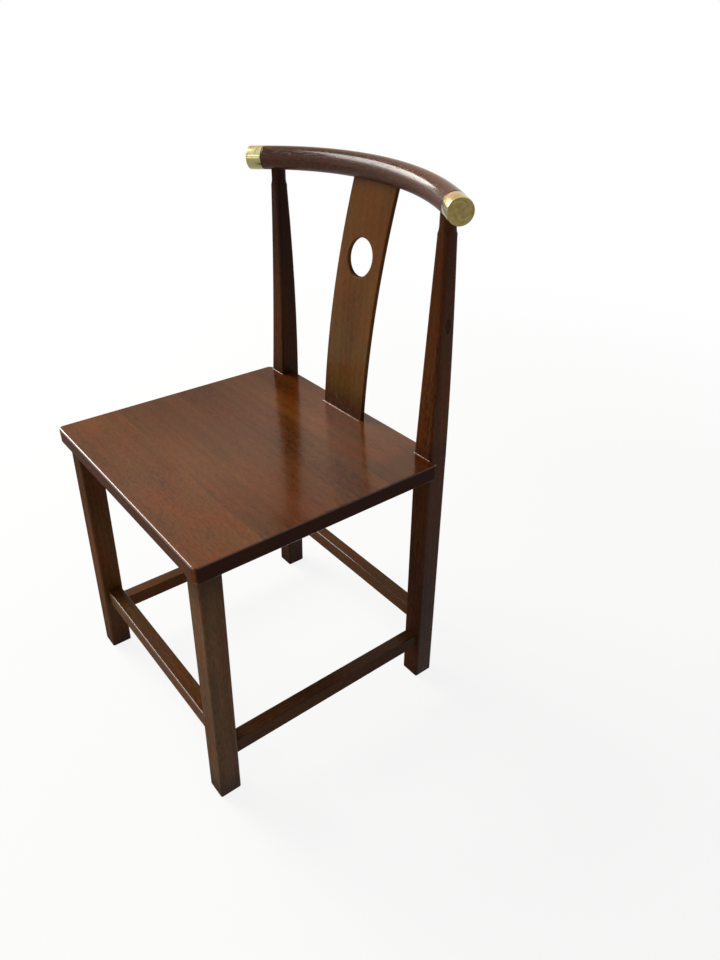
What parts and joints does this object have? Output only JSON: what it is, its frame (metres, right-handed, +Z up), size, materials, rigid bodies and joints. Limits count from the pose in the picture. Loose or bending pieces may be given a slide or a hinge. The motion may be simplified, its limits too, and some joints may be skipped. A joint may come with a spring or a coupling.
{
  "type": "bow-back side chair",
  "caption": "Wooden side chair with a plank seat, square splayed legs and stretchers, a bent splat with a round hole, and a bowed round crest rail with brass end caps.",
  "frame": {"origin": "on the floor, under the middle of the chair's bounding box", "axes": "+Z up, +Y towards the back of the chair, so it faces -Y; +X is to the right when seen from the front"},
  "size_m": [0.4886, 0.4763, 0.8264],
  "materials": {
    "seat_wood": "satin lacquer",
    "frame_wood": "satin lacquer",
    "rail_wood": "satin lacquer",
    "splat_wood": "satin lacquer",
    "cap_brass": "polished"
  },
  "bodies": {
    "root": {"seat_board_front": "seat_wood", "seat_board_front_middle": "seat_wood", "seat_board_rear_middle": "seat_wood", "seat_board_rear": "seat_wood", "seat_tongue_front": "seat_wood", "seat_tongue_middle": "seat_wood", "seat_tongue_rear": "seat_wood", "seat_batten_left": "frame_wood", "seat_batten_right": "frame_wood", "front_leg_left": "frame_wood", "front_leg_right": "frame_wood", "rear_post_left": "frame_wood", "rear_post_right": "frame_wood", "front_stretcher": "frame_wood", "left_stretcher": "frame_wood", "right_stretcher": "frame_wood", "rear_stretcher": "frame_wood", "back_splat": "splat_wood", "crest_rail": "rail_wood", "rail_cap_left": "cap_brass", "rail_cap_right": "cap_brass"}
  },
  "joints": []
}
